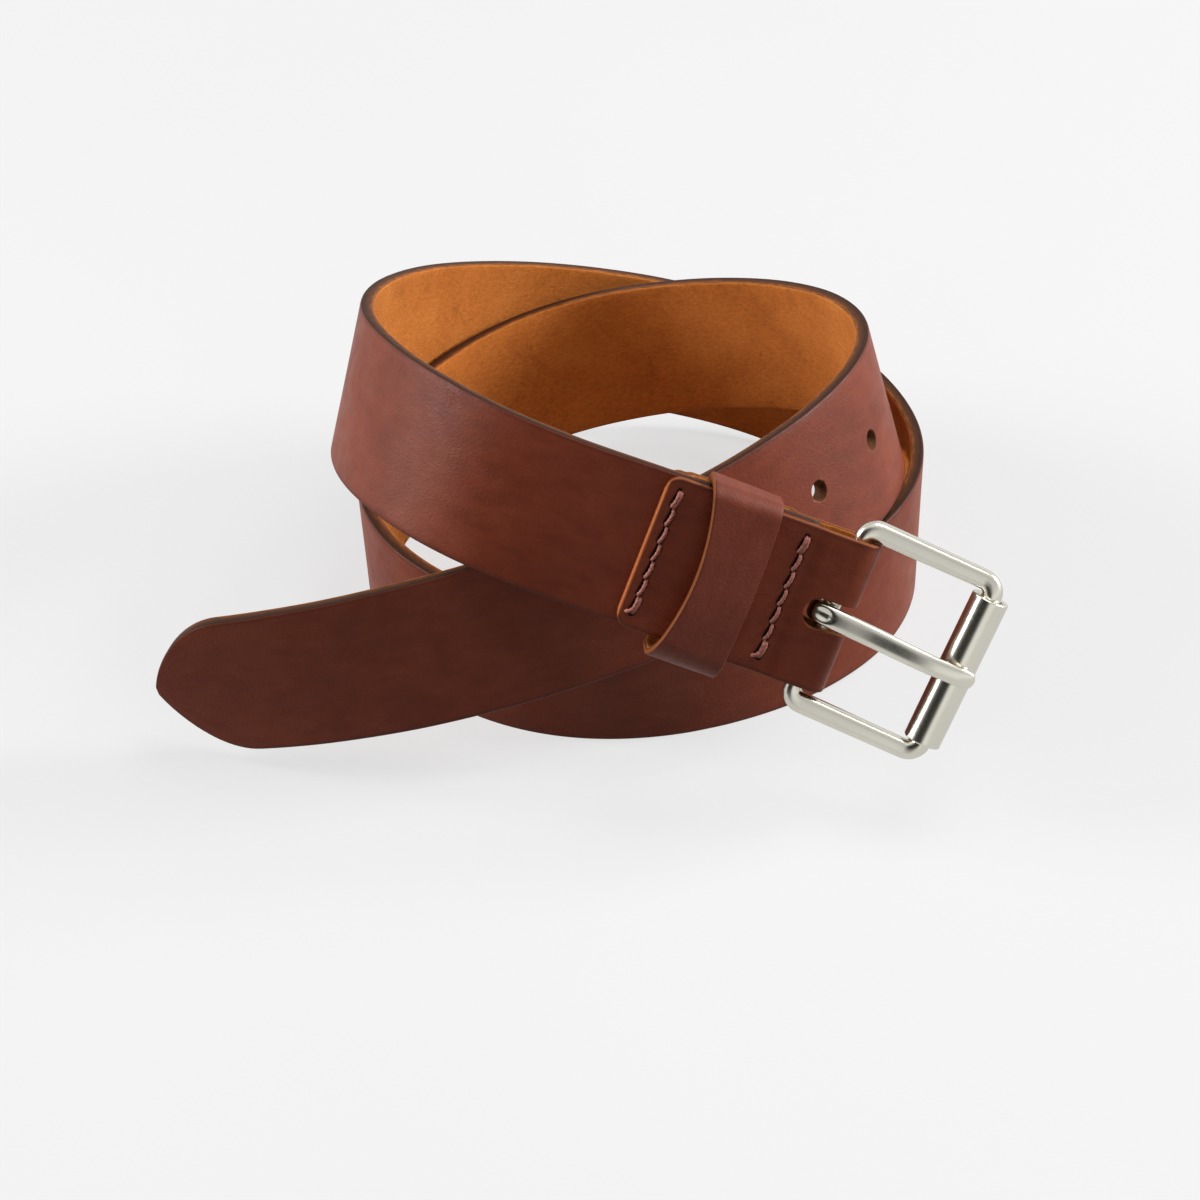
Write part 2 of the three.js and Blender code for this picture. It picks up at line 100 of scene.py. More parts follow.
GAP = 0.0003
CHAPE_WIDTH = 0.0376
LEAF_THICKNESS = 0.0023
CHAPE_LENGTH = 0.047
CHAPE_CORNER = 0.0035
LEAF_CORNER = 0.0005
LEAF_END_ROUND = 0.0006
RAW_END_REACH = 0.0012
GROOVE_DEPTH = 0.0004
HEEL_BACK = 0.0035
STRAP_END = 0.0098
FOLD_SHIFT = 0.001
POCKET_LENGTH = 0.006
POCKET_RAMP = 0.004
SLOT_WIDTH = 0.0075
SLOT_LENGTH = 0.0066
HUMP_START = 0.0155
HUMP_END = 0.0415
HUMP_RAMP = 0.0022

KEEPER_THICKNESS = 0.0018
KEEPER_NEAR = {"along": -0.0199, "top": 0.0204, "bottom": -0.023, "front": 0.0065,
               "crown": 0.0005, "bow": 0.0008}
KEEPER_FAR = {"along": -0.0374, "top": 0.0208, "bottom": -0.0225, "front": 0.009,
              "crown": 0.0014, "bow": 0.0036}
KEEPER_BACK_CORNER = 0.002
KEEPER_TOP_CORNER = 0.003
KEEPER_BOTTOM_CORNER = 0.0055
KEEPER_HALF_WIDTH = 0.0088
KEEPER_EDGE_CORNER = 0.00045

THREAD_RADIUS = 0.00046
STITCH_COUNT = 7
STITCH_PITCH = 0.00445
ROW_TOP = 0.0158
ROWS = {"buckle": -0.0122, "edge": -0.0436}
STITCH_SLANT = 0.16
THREAD_TWIST = 5200
THREAD_SIDES = 18

BUCKLE_SHIFT = -0.0005
BUCKLE_SKEW = 3
BUCKLE_SWING = 8
HEEL_RADIUS = 0.0022
FRAME_LENGTH = 0.0328
FRAME_HALF_WIDTH = 0.0224
HEEL_CORNER = 0.0032
FRONT_CORNER = 0.0034
SIDE_HALF_WIDTH = 0.0025
SIDE_TAPER = 0.0002
SIDE_HALF_THICKNESS = 0.0021
FRONT_BAR_RADIUS = 0.0025
ROLLER_RADIUS = 0.0045
ROLLER_BORE = 0.003
ROLLER_LENGTH = 0.038
ROLLER_LIP = 0.0004
ROLLER_BEVEL = 0.0003
SEAM_DEPTH = 0.0003
SEAM_ANGLE = 250
PRONG_HALF_WIDTH = 0.0025
PRONG_TIP_HALF_WIDTH = 0.0021
PRONG_HALF_THICKNESS = 0.0012
PRONG_TIP_ROUND = 0.0019
# The middle of the dimple on the prong's head, in the buckle's own axes.
DIMPLE = (-0.0012, 0, 0.0047)
DIMPLE_DEPTH = 0.0009

# ---- camera, lights and floor ----

CAMERA_ELEVATION = 38
CAMERA_DISTANCE = 0.85
LENS = 98.2

DOME_TONE = 0.14
BACKDROP_TONE = 0.887
# Where the dark panel that the metal reflects stands, as a direction from the belt.
DARK_PANEL = (-0.62, -0.7, 0.35)
PANEL_TONE = (0.015, 0.015, 0.013)
FLOOR_GLOW = 0.64
FLOOR_SHINE = 0.55
FLOOR_BOUNCE = 0.07


def make_camera():
    camera = bpy.data.objects.new("camera", bpy.data.cameras.new("camera"))
    bpy.context.scene.collection.objects.link(camera)
    elevation = math.radians(CAMERA_ELEVATION)
    back = Vector((0, -math.cos(elevation), math.sin(elevation)))
    camera.location = Vector(SHIFT) + back * CAMERA_DISTANCE
    camera.rotation_euler = (-back).to_track_quat("-Z", "Y").to_euler()
    camera.data.sensor_width = 36
    camera.data.lens = LENS
    camera.data.clip_start = 0.01
    camera.data.clip_end = 50
    bpy.context.scene.camera = camera


def make_area_light(name, place, size, watts):
    light = bpy.data.lights.new(name, "AREA")
    light.shape = "RECTANGLE"
    light.size, light.size_y = size
    light.energy = watts
    lamp = bpy.data.objects.new(name, light)
    bpy.context.scene.collection.objects.link(lamp)
    lamp.location = place
    aim = Vector((0, 0, 0.03)) - Vector(place)
    lamp.rotation_euler = aim.to_track_quat("-Z", "Y").to_euler()


# ---- node helpers ----


def add_node(tree, kind, values=None, settings=None, **links):
    node = tree.nodes.new(kind)
    for key, value in (settings or {}).items():
        setattr(node, key, value)
    for key, value in (values or {}).items():
        node.inputs[key].default_value = value
    for key, socket in links.items():
        tree.links.new(socket, node.inputs[key.replace("_", " ")])
    return node


def ramp(tree, factor, stops):
    """A colour ramp through (position, colour) stops, with colours as three numbers or one."""
    node = add_node(tree, "ShaderNodeValToRGB", Fac=factor)
    elements = node.color_ramp.elements
    while len(elements) < len(stops):
        elements.new(0.5)
    for element, (position, colour) in zip(elements, stops):
        element.position = position
        rgb = colour if hasattr(colour, "__len__") else (colour,) * 3
        element.color = (*rgb, 1)
    return node.outputs["Color"]


def mixed(tree, factor, first, second, blend="MIX"):
    """Mixes two colours. factor, first and second are sockets or plain values."""
    node = add_node(tree, "ShaderNodeMix", settings={"data_type": "RGBA", "blend_type": blend})
    for index, value in ((0, factor), (6, first), (7, second)):
        if isinstance(value, bpy.types.NodeSocket):
            tree.links.new(value, node.inputs[index])
        else:
            node.inputs[index].default_value = value if index == 0 else (*value, 1)
    return node.outputs[2]


def maths(tree, operation, first, second=0.0):
    node = add_node(tree, "ShaderNodeMath", settings={"operation": operation})
    for index, value in enumerate((first, second)):
        if isinstance(value, bpy.types.NodeSocket):
            tree.links.new(value, node.inputs[index])
        else:
            node.inputs[index].default_value = value
    return node.outputs[0]


def scaled(tree, vector, scale, turn=(0, 0, 0)):
    values = {"Scale": scale, "Rotation": turn}
    return add_node(tree, "ShaderNodeMapping", values, Vector=vector).outputs["Vector"]


def noise_of(tree, vector, scale, detail=4.0, roughness=0.55, distortion=0.0):
    values = {"Scale": scale, "Detail": detail, "Roughness": roughness, "Distortion": distortion}
    return add_node(tree, "ShaderNodeTexNoise", values, Vector=vector).outputs["Fac"]


def cells_of(tree, vector, scale):
    settings = {"feature": "SMOOTH_F1"}
    node = add_node(tree, "ShaderNodeTexVoronoi", {"Scale": scale}, settings, Vector=vector)
    return node.outputs["Distance"]


def weighted(tree, *terms):
    """The sum of two or more (socket, weight) terms."""
    total = 0.0
    for socket, weight in terms:
        total = maths(tree, "ADD", total, maths(tree, "MULTIPLY", socket, weight))
    return total


def bumped(tree, height, distance, strength, normal=None):
    values = {"Strength": strength, "Distance": distance}
    node = add_node(tree, "ShaderNodeBump", values, Height=height)
    if normal is not None:
        tree.links.new(normal, node.inputs["Normal"])
    return node.outputs["Normal"]


def start_material(name, values):
    """A material with a Principled shader whose plain values are set on its own sockets."""
    material = bpy.data.materials.new(name)
    material.use_nodes = True
    tree = material.node_tree
    shader = tree.nodes["Principled BSDF"]
    for key, value in values.items():
        shader.inputs[key].default_value = value
    place = tree.nodes.new("ShaderNodeTexCoord")
    return material, tree, shader, place.outputs["UV"], place.outputs["Object"]


def connect(tree, shader, **sockets):
    for key, socket in sockets.items():
        tree.links.new(socket, shader.inputs[key.replace("_", " ")])


# ---- materials ----

# Leather tones run from dark to light, and edge tones from the grain side to the flesh side.
GRAIN_TONES = ((0.12, 0.019, 0.006), (0.175, 0.032, 0.012), (0.225, 0.046, 0.019))
KEEPER_TONES = ((0.125, 0.024, 0.011), (0.175, 0.036, 0.018), (0.23, 0.055, 0.03))
FLESH_TONES = ((0.36, 0.105, 0.017), (0.57, 0.175, 0.03), (0.7, 0.255, 0.052))
SEALED_EDGE_TONES = ((0.04, 0.013, 0.005), (0.13, 0.042, 0.013), (0.42, 0.14, 0.035))
RAW_EDGE_TONES = ((0.28, 0.08, 0.02), (0.14, 0.04, 0.012), (0.1, 0.028, 0.009))
HOLE_TONES = ((0.09, 0.035, 0.015), (0.22, 0.09, 0.035), (0.42, 0.2, 0.08))
THREAD_TONES = ((0.24, 0.07, 0.048), (0.52, 0.185, 0.135))
RAW_TONE = (0.5, 0.13, 0.028)
# Painted shade for the stitch grooves: a near-black tone.
GROOVE_PAINTED_SHADE = (0.012, 0.004, 0.003)
PORE_SCALE = 1900
KEEPER_PORE_SCALE = 1500
HOLE_WALL_HALF = 0.002


def crease_lines(tree, strip, place):
    """Hair-fine creases that run across the length, here and there."""
    creases = noise_of(tree, scaled(tree, strip, (2.6, 0.7, 1), (0, 0, 0.25)), 330, 3, 0.5, 1.6)
    line = ramp(tree, creases, [(0.47, 0.0), (0.5, 1.0), (0.53, 0.0)])
    zone = ramp(tree, noise_of(tree, place, 55, 2), [(0.52, 0.0), (0.68, 1.0)])
    return maths(tree, "MULTIPLY", line, zone)


def rim_shade(tree, strip, half_width):
    """How dark the rim is where its edge was sealed, with a ragged inner side."""
    across = add_node(tree, "ShaderNodeSeparateXYZ", Vector=strip).outputs["Y"]
    rim = maths(tree, "DIVIDE", maths(tree, "ABSOLUTE", across), half_width)
    ragged = weighted(tree, (rim, 1.0), (noise_of(tree, strip, 420, 4), 0.05))
    return ramp(tree, ragged, [(0.955, 0.0), (0.995, 0.5)])


def with_raw_ends_and_groove_shade(tree, colour):
    """The colour made raw at the two cut ends, with painted shade darkening the stitch grooves."""
    groove = add_node(tree, "ShaderNodeUVMap", settings={"uv_map": "groove"}).outputs["UV"]
    parts = add_node(tree, "ShaderNodeSeparateXYZ", Vector=groove).outputs
    colour = mixed(tree, ramp(tree, parts["Y"], [(0.3, 0.0), (0.7, 0.9)]), colour, RAW_TONE)
    # Painted shade: the stitch grooves are darkened to near black by their depth.
    return mixed(tree, ramp(tree, parts["X"], [(0.12, 0.0), (0.4, 0.96)]), colour, GROOVE_PAINTED_SHADE)


def grain_leather(name, tones, pore_scale=PORE_SCALE, half_width=STRAP_WIDTH / 2, is_sewn=False):
    """Waxed grain leather: cloudy colour, fine pores, faint creases and darker rubbed edges.
    Sewn leather gets painted shade in its stitch grooves and is raw at its two cut ends."""
    material, tree, shader, strip, place = start_material(name, {"Specular IOR Level": 0.2})
    dark, middle, light = tones
    clouds = noise_of(tree, place, 38, 5, 0.6, 0.4)
    patches = noise_of(tree, scaled(tree, strip, (0.5, 1.4, 1)), 210, 6, 0.62)
    blend = weighted(tree, (clouds, 0.62), (patches, 0.38))
    colour = ramp(tree, blend, [(0.33, dark), (0.5, middle), (0.68, light)])
    pores = cells_of(tree, place, pore_scale)
    speckle = noise_of(tree, place, 5200, 3, 0.6)
    colour = mixed(tree, ramp(tree, pores, [(0.05, 0.28), (0.45, 0.0)]), colour, dark)
    colour = mixed(tree, ramp(tree, speckle, [(0.35, 0.16), (0.6, 0.0)]), colour, dark)
    crease = crease_lines(tree, strip, place)
    colour = mixed(tree, maths(tree, "MULTIPLY", crease, 0.3), colour, dark)
    colour = mixed(tree, rim_shade(tree, strip, half_width), colour, tuple(0.45 * c for c in dark))
    if is_sewn:
        colour = with_raw_ends_and_groove_shade(tree, colour)
    gloss = weighted(tree, (noise_of(tree, place, 160, 4, 0.6), 1.0), (speckle, 0.25))
    roughness = ramp(tree, gloss, [(0.4, 0.4), (0.85, 0.56)])
    normal = bumped(tree, weighted(tree, (pores, 0.8), (speckle, 0.5)), 0.00009, 0.7)
    normal = bumped(tree, maths(tree, "SUBTRACT", 1.0, crease), 0.00008, 0.4, normal)
    normal = bumped(tree, noise_of(tree, place, 420, 3), 0.00018, 0.25, normal)
    connect(tree, shader, Base_Color=colour, Roughness=roughness, Normal=normal)
    return material


def flesh_leather(name, tones):
    """The fuzzy flesh side: short fibres, blotches and darker smudges."""
    material, tree, shader, strip, place = start_material(
        name, {"Specular IOR Level": 0.12, "Sheen Weight": 0.2, "Sheen Roughness": 0.5,
               "Sheen Tint": (1.0, 0.6, 0.25, 1)})
    dark, middle, light = tones
    blotch = noise_of(tree, place, 48, 6, 0.62, 0.5)
    nap = noise_of(tree, scaled(tree, strip, (1.0, 2.2, 1), (0, 0, 0.5)), 620, 6, 0.7, 0.8)
    fibres = noise_of(tree, scaled(tree, strip, (0.8, 2.6, 1), (0, 0, -0.35)), 1900, 4, 0.7, 1.2)
    blend = weighted(tree, (blotch, 0.45), (nap, 0.55))
    colour = ramp(tree, blend, [(0.34, dark), (0.5, middle), (0.66, light)])
    colour = mixed(tree, ramp(tree, fibres, [(0.38, 0.4), (0.56, 0.0)]), colour, dark)
    smudge = ramp(tree, noise_of(tree, place, 85, 4, 0.7, 0.8), [(0.58, 0.0), (0.75, 0.45)])
    colour = mixed(tree, smudge, colour, tuple(0.6 * c for c in dark))
    roughness = ramp(tree, nap, [(0.3, 0.85), (0.7, 1.0)])
    normal = bumped(tree, weighted(tree, (nap, 0.7), (fibres, 1.0)), 0.00022, 0.7)
    connect(tree, shader, Base_Color=colour, Roughness=roughness, Normal=normal)
    return material


def cut_edge(name, tones, half_thickness):
    """The sealed cut edge: dark at the grain side, raw fibres at the flesh side."""
    material, tree, shader, strip, place = start_material(name, {"Specular IOR Level": 0.15})
    dark, middle, raw = tones
    depth = add_node(tree, "ShaderNodeSeparateXYZ", Vector=strip).outputs["Y"]
    share = maths(tree, "ADD", maths(tree, "DIVIDE", depth, 2 * half_thickness), 0.5)
    wobble = noise_of(tree, scaled(tree, strip, (0.35, 1, 1)), 900, 5, 0.65)
    level = weighted(tree, (maths(tree, "SUBTRACT", share, 0.3), 1.0), (wobble, 0.6))
    colour = ramp(tree, level, [(0.05, raw), (0.3, middle), (0.72, dark)])
    streaks = noise_of(tree, scaled(tree, strip, (0.12, 2.2, 1)), 1700, 4, 0.6)
    streak_shade = ramp(tree, streaks, [(0.4, 0.5), (0.6, 0.0)])
    colour = mixed(tree, streak_shade, colour, tuple(0.4 * c for c in dark))
    roughness = ramp(tree, streaks, [(0.3, 0.5), (0.7, 0.8)])
    normal = bumped(tree, maths(tree, "ADD", streaks, noise_of(tree, place, 3800, 3)), 0.00012, 0.6)
    connect(tree, shader, Base_Color=colour, Roughness=roughness, Normal=normal)
    return material


def waxed_thread(name, tones):
    material, tree, shader, strip, place = start_material(
        name, {"Specular IOR Level": 0.4, "Sheen Weight": 0.15, "Sheen Roughness": 0.5})
    dark, light = tones
    fibres = noise_of(tree, scaled(tree, strip, (1, 0.25, 1), (0, 0, 0.7)), 5200, 4, 0.7)
    worn = noise_of(tree, place, 600, 3)
    colour = ramp(tree, fibres, [(0.3, dark), (0.65, light)])
    colour = mixed(tree, ramp(tree, worn, [(0.4, 0.35), (0.6, 0.0)]), colour, dark)
    roughness = ramp(tree, worn, [(0.3, 0.5), (0.7, 0.72)])
    normal = bumped(tree, fibres, 0.00008, 0.6)
    connect(tree, shader, Base_Color=colour, Roughness=roughness, Normal=normal)
    return material


def satin_nickel(name):
    """Satin nickel plate: an even soft shine with hair-fine lines rubbed along the metal."""
    material, tree, shader, strip, place = start_material(name, {"Metallic": 1.0})
    lines = noise_of(tree, scaled(tree, strip, (0.12, 1, 1)), 6500, 4, 0.65)
    haze = noise_of(tree, place, 90, 3, 0.5)
    tone = weighted(tree, (haze, 0.5), (lines, 0.5))
    colour = ramp(tree, tone, [(0.35, (0.64, 0.62, 0.535)), (0.65, (0.7, 0.68, 0.595))])
    roughness = ramp(tree, lines, [(0.3, 0.2), (0.7, 0.27)])
    normal = bumped(tree, lines, 0.000008, 0.35)
    connect(tree, shader, Base_Color=colour, Roughness=roughness, Normal=normal)
    return material


def floor_paint(name):
    """A pale floor lit evenly from below as well as above, so its shadows stay faint."""
    material, tree, shader, _, place = start_material(name, {"Specular IOR Level": 0.0})
    tone = noise_of(tree, place, 3, 3)
    rays = tree.nodes.new("ShaderNodeLightPath").outputs
    glossy = ramp(tree, rays["Is Glossy Ray"], [(0.0, FLOOR_BOUNCE), (1.0, FLOOR_SHINE)])
    glow = mixed(tree, rays["Is Camera Ray"], glossy, (FLOOR_GLOW,) * 3)
    connect(tree, shader, Base_Color=ramp(tree, tone, [(0.3, 0.195), (0.7, 0.205)]),
            Roughness=ramp(tree, tone, [(0.3, 0.85), (0.7, 0.9)]),
            Emission_Color=ramp(tree, tone, [(0.3, 0.99), (0.7, 1.0)]),
            Emission_Strength=glow)
    return material


def make_world():
    """A dim dome. Glossy rays see a studio: bright panels above and beside, dark in between."""
    world = bpy.data.worlds.new("studio")
    bpy.context.scene.world = world
    world.use_nodes = True
    tree = world.node_tree
    background = tree.nodes["Background"]
    direction = tree.nodes.new("ShaderNodeTexCoord").outputs["Generated"]
    axes = add_node(tree, "ShaderNodeSeparateXYZ", Vector=direction)
    rays = tree.nodes.new("ShaderNodeLightPath")
    level = maths(tree, "ADD", maths(tree, "MULTIPLY", axes.outputs["Z"], 0.5), 0.5)
    height = ramp(tree, level, [(0.46, 0.9), (0.55, 1.15), (0.66, 0.95), (0.8, 0.6), (1.0, 1.0)])
    sides = ramp(tree, maths(tree, "ABSOLUTE", axes.outputs["X"]), [(0.35, 0.0), (0.75, 0.8)])
    studio = mixed(tree, 1.0, height, sides, "LIGHTEN")
    settings = {"operation": "DOT_PRODUCT"}
    aim = add_node(tree, "ShaderNodeVectorMath", settings=settings, Vector=direction)
    aim.inputs[1].default_value = DARK_PANEL
    panel = ramp(tree, aim.outputs["Value"], [(0.79, 0.0), (0.9, 1.0)])
    studio = mixed(tree, panel, studio, PANEL_TONE)
    seen = mixed(tree, rays.outputs["Is Glossy Ray"], (DOME_TONE,) * 3, studio)
    seen = mixed(tree, rays.outputs["Is Camera Ray"], seen, (BACKDROP_TONE,) * 3)
    tree.links.new(seen, background.inputs["Color"])


# ---- mesh helpers ----

CORNER_STEPS = 4


def unit(vectors):
    return vectors / np.linalg.norm(vectors, axis=1, keepdims=True)


def lengths_along(points):
    """How far each point lies along an open line of points."""
    steps = np.linalg.norm(np.diff(points, axis=0), axis=1)
    return np.concatenate([[0], np.cumsum(steps)])


def lengths_round(points):
    """The same for a closed line, with the whole way round as the last value."""
    return lengths_along(np.concatenate([points, points[:1]]))


def round_strips(sides, radius):
    """The UV spans of a ring of equal sides, all of one material."""
    around = 2 * math.pi * radius / sides
    return [(j * around, (j + 1) * around, 0) for j in range(sides)]


def link_mesh(name, mesh, materials):
    for material in materials:
        mesh.materials.append(material)
    piece = bpy.data.objects.new(name, mesh)
    bpy.context.scene.collection.objects.link(piece)
    return piece


def sweep(name, rings, lengths, strips, materials, loop=False):
    """A closed skin over rings of points. strips has (start, end, material) for each strip of a ring,
    where start and end are the second UV coordinate and lengths gives the first."""
    rings = np.asarray(rings, float)
    count, sides = rings.shape[:2]
    spans = count if loop else count - 1
    i, j = np.meshgrid(np.arange(spans), np.arange(sides), indexing="ij")
    k, there = (j + 1) % sides, ((i + 1) % count) * sides
    quads = np.stack([i * sides + j, i * sides + k, there + k, there + j], -1).reshape(-1, 4)
    faces = quads.tolist()
    if not loop:
        faces.append(list(range(sides - 1, -1, -1)))
        faces.append(list(range((count - 1) * sides, count * sides)))
    mesh = bpy.data.meshes.new(name)
    mesh.from_pydata(rings.reshape(-1, 3).tolist(), [], faces)
    zones = np.tile([strip[2] for strip in strips], spans).tolist()
    if not loop:
        zones += [1, 1]
    mesh.polygons.foreach_set("material_index", zones)
    mesh.polygons.foreach_set("use_smooth", [True] * len(zones))
    lengths = np.asarray(lengths, float)
    near, far = lengths[i], lengths[i + 1]
    starts = np.array([strip[0] for strip in strips])[j]
    ends = np.array([strip[1] for strip in strips])[j]
    uv = np.stack([near, starts, near, ends, far, ends, far, starts], -1).reshape(-1)
    spare = 2 * len(mesh.loops) - len(uv)
    layer = mesh.uv_layers.new(name="strip")
    layer.data.foreach_set("uv", np.concatenate([uv, np.zeros(spare)]))
    mesh.validate()
    return link_mesh(name, mesh, materials)


def placed(points, matrix):
    points = np.asarray(points, float)
    return points @ matrix[:3, :3].T + matrix[:3, 3]


def carve(piece, cutter):
    """Takes the cutter's shape out of the piece, and removes the cutter."""
    modifier = piece.modifiers.new("cut", "BOOLEAN")
    modifier.operation = "DIFFERENCE"
    modifier.solver = "EXACT"
    modifier.material_mode = "TRANSFER"
    modifier.object = cutter
    graph = bpy.context.evaluated_depsgraph_get()
    result = bpy.data.meshes.new_from_object(piece.evaluated_get(graph))
    if len(result.polygons) < 0.8 * len(piece.data.polygons):
        raise ValueError(f"cutting {piece.name} lost most of it")
    piece.modifiers.clear()
    piece.data = result
    bpy.data.objects.remove(cutter)


def band_section(half_width, half_thickness, corner, columns):
    """A rounded rectangle: points (x, y) counter-clockwise from the lower right."""
    corner = np.minimum(corner, 0.45 * half_width)
    w, t = half_width - corner, half_thickness - corner
    points = []
    for x, y, start in ((w, t, 0), (-w, t, 90), (-w, -t, 180), (w, -t, 270)):
        for step in range(CORNER_STEPS + 1):
            angle = math.radians(start + 90 * step / CORNER_STEPS)
            points.append((x + corner * math.cos(angle), y + corner * math.sin(angle)))
        if start in (0, 180):
            for column in range(1, columns):
                share = column / columns
                points.append((x * (1 - 2 * share), y + math.copysign(corner, y)))
    return np.array(points)


def band_strips(half_width, half_thickness, corner, columns):
    """The UV spans and materials of band_section: 0 is the face, 1 the edges and 2 the back."""
    points = band_section(half_width, half_thickness, corner, columns)
    strips = []
    for j, (x, y) in enumerate(points):
        nx, ny = points[(j + 1) % len(points)]
        level = (y + ny) / 2
        edge = abs(level) < half_thickness - 0.35 * corner
        zone = 1 if edge else (0 if level > 0 else 2)
        strips.append((y, ny, zone) if edge else (x, nx, zone))
    return strips


# ---- route ----


def spline(sample):
    """Middle point, tangent, width direction and grain-side normal at samples along the route."""
    sample = np.atleast_1d(np.asarray(sample, float)) / SPLINE_SAMPLES
    span = np.clip(np.floor(sample).astype(int), 0, len(ROUTE) - 4)
    t = sample - span
    rising = -3 * t**3 + 3 * t**2 + 3 * t + 1
    weights = np.stack([(1 - t) ** 3, 3 * t**3 - 6 * t**2 + 4, rising, t**3], -1) / 6
    slopes = np.stack([-((1 - t) ** 2), 3 * t**2 - 4 * t, -3 * t**2 + 2 * t + 1, t**2], -1) / 2
    rows = ROUTE[span[:, None] + np.arange(4)]
    values = np.einsum("ij,ijk->ik", weights, rows)
    along = unit(np.einsum("ij,ijk->ik", slopes, rows)[:, :3])
    upright = unit(np.array([0, 0, 1]) - along[:, 2:3] * along)
    level = np.cross(along, upright)
    lean = np.radians(values[:, 3:4])
    across = np.cos(lean) * upright + np.sin(lean) * level
    return values[:, :3], along, across, np.cross(along, across)


SAMPLES = np.arange((len(ROUTE) - 3) * SPLINE_SAMPLES + 1)
LENGTHS = lengths_along(spline(SAMPLES)[0])
STRAP_LENGTH = LENGTHS[-1] - HEEL_BACK - STRAP_END


def route_at(distance):
    return spline(np.interp(distance, LENGTHS, SAMPLES))


def tip_half_width(distance):
    share = np.minimum(distance / TIP_LENGTH, 1)
    return STRAP_WIDTH / 2 * (1 - (1 - share) ** 2) ** TIP_ROUNDNESS


def frame_shift():
    """How far the route moves to meet the strap's real place, by the strap's sides."""
    spans = 1 + round((STRAP_LENGTH - TIP_LENGTH) / STATION_PITCH)
    tip = np.array(TIP_SHARES) * TIP_LENGTH
    distance = np.concatenate([[TIP_BLUNT], tip, np.linspace(TIP_LENGTH, STRAP_LENGTH, spans)])
    centre, _, across, normal = route_at(distance)
    half = tip_half_width(distance)
    corner = np.minimum(STRAP_BEVEL, half / 2)
    thick = STRAP_THICKNESS / 2
    points = []
    for side in (-1, 1):
        for face in (-1, 1):
            for inset in (0, 1):
                x = side * (half - inset * corner)
                y = face * (thick - (1 - inset) * corner)
                points.append(centre + x[:, None] * across + y[:, None] * normal)
    points = np.concatenate(points)
    low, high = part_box("strap")
    ends = (low.x - points[:, 0].min(), high.y - points[:, 1].max(), high.z - points[:, 2].max())
    return np.array(ends)


SHIFT = frame_shift()


def turn(axis, degrees):
    return np.array(Matrix.Rotation(math.radians(degrees), 4, axis))


def chape_matrix():
    """x along the strap, y across it and z out of the chape's face, from the middle of the heel bar."""
    centre, along, across, normal = (part[0] for part in route_at(LENGTHS[-1]))
    matrix = np.eye(4)
    matrix[:3, :3] = np.stack([along, across, normal], 1)
    matrix[:3, 3] = centre - HEEL_BACK * along + SHIFT
    return matrix


CHAPE = chape_matrix()
SLIDE = np.array(Matrix.Translation((0, BUCKLE_SHIFT, 0)))
BUCKLE = CHAPE @ SLIDE @ turn("Z", -BUCKLE_SKEW) @ turn("Y", -BUCKLE_SWING)


# ---- leather pieces ----


def ease(x, start, end):
    share = np.clip((x - start) / (end - start), 0, 1)
    return share * share * (3 - 2 * share)


def wander(points, scale, size, seed):
    """Smooth noise at each point, from -size to size."""
    offset = Vector((seed, 2.7 * seed, -seed))
    return np.array([size * noise.noise(Vector(p) * scale + offset) for p in points])


def make_strap(materials):
    tip = TIP_BLUNT + (TIP_LENGTH - TIP_BLUNT) * np.linspace(0, 1, 26) ** 1.7
    body = np.linspace(TIP_LENGTH, STRAP_LENGTH, 520)[1:]
    distance = np.concatenate([[TIP_BLUNT - 0.0002], tip, body])
    centre, _, across, normal = route_at(distance)
    half = tip_half_width(np.maximum(distance, TIP_BLUNT)) + wander(centre, 45, 0.00012, 3)
    thick = STRAP_THICKNESS / 2 + wander(centre, 30, 0.00005, 8)
    # The first ring is drawn in, which rounds off the blunt end of the tip.
    half[0] *= 0.75
    thick[0] *= 0.7
    columns = 26
    rings = []
    for c, w, n, h, t in zip(centre, across, normal, half, thick):
        section = band_section(h, t, STRAP_CORNER, columns)
        rings.append(c + SHIFT + section[:, :1] * w + section[:, 1:] * n)
    rings = np.array(rings)
    rings[:, :, 2] = np.maximum(rings[:, :, 2], FLOOR_CLEARANCE)
    strips = band_strips(STRAP_WIDTH / 2, STRAP_THICKNESS / 2, STRAP_CORNER, columns)
    strap = sweep("strap_leather", rings, distance, strips, materials)
    carve(strap, hole_cutter(materials[3]))
    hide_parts("strap")
    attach(strap, "belt")


def punch_rings(hole):
    """The rings of one punch, which flares a little at the grain face where it pushed the leather in."""
    centre, _, across, normal = (part[0] for part in route_at(FIRST_HOLE + hole * HOLE_PITCH))
    along = np.cross(across, normal)
    points = []
    for depth, flare in PUNCH_PROFILE:
        for side in range(PUNCH_SIDES):
            angle = 2 * math.pi * side / PUNCH_SIDES
            out = math.cos(angle) * across + math.sin(angle) * along
            radius = HOLE_RADIUS * flare
            points.append(centre + SHIFT + radius * out + depth * STRAP_THICKNESS * normal)
    return points


def punch_faces(start):
    """The faces of one closed punch whose first vertex is start."""
    faces = []
    last = start + (len(PUNCH_PROFILE) - 1) * PUNCH_SIDES
    for ring in range(start, last, PUNCH_SIDES):
        for side in range(PUNCH_SIDES):
            a = ring + side
            b = ring + (side + 1) % PUNCH_SIDES
            faces.append((a, a + PUNCH_SIDES, b + PUNCH_SIDES, b))
    faces.append([start + side for side in range(PUNCH_SIDES)])
    faces.append([last + side for side in range(PUNCH_SIDES - 1, -1, -1)])
    return faces


def hole_cutter(material):
    verts, faces = [], []
    for hole in range(HOLE_COUNT):
        faces += punch_faces(len(verts))
        verts += punch_rings(hole)
    mesh = bpy.data.meshes.new("punches")
    mesh.from_pydata([list(v) for v in verts], [], faces)
    mesh.polygons.foreach_set("use_smooth", [True] * len(faces))
    return link_mesh("punches", mesh, [material])


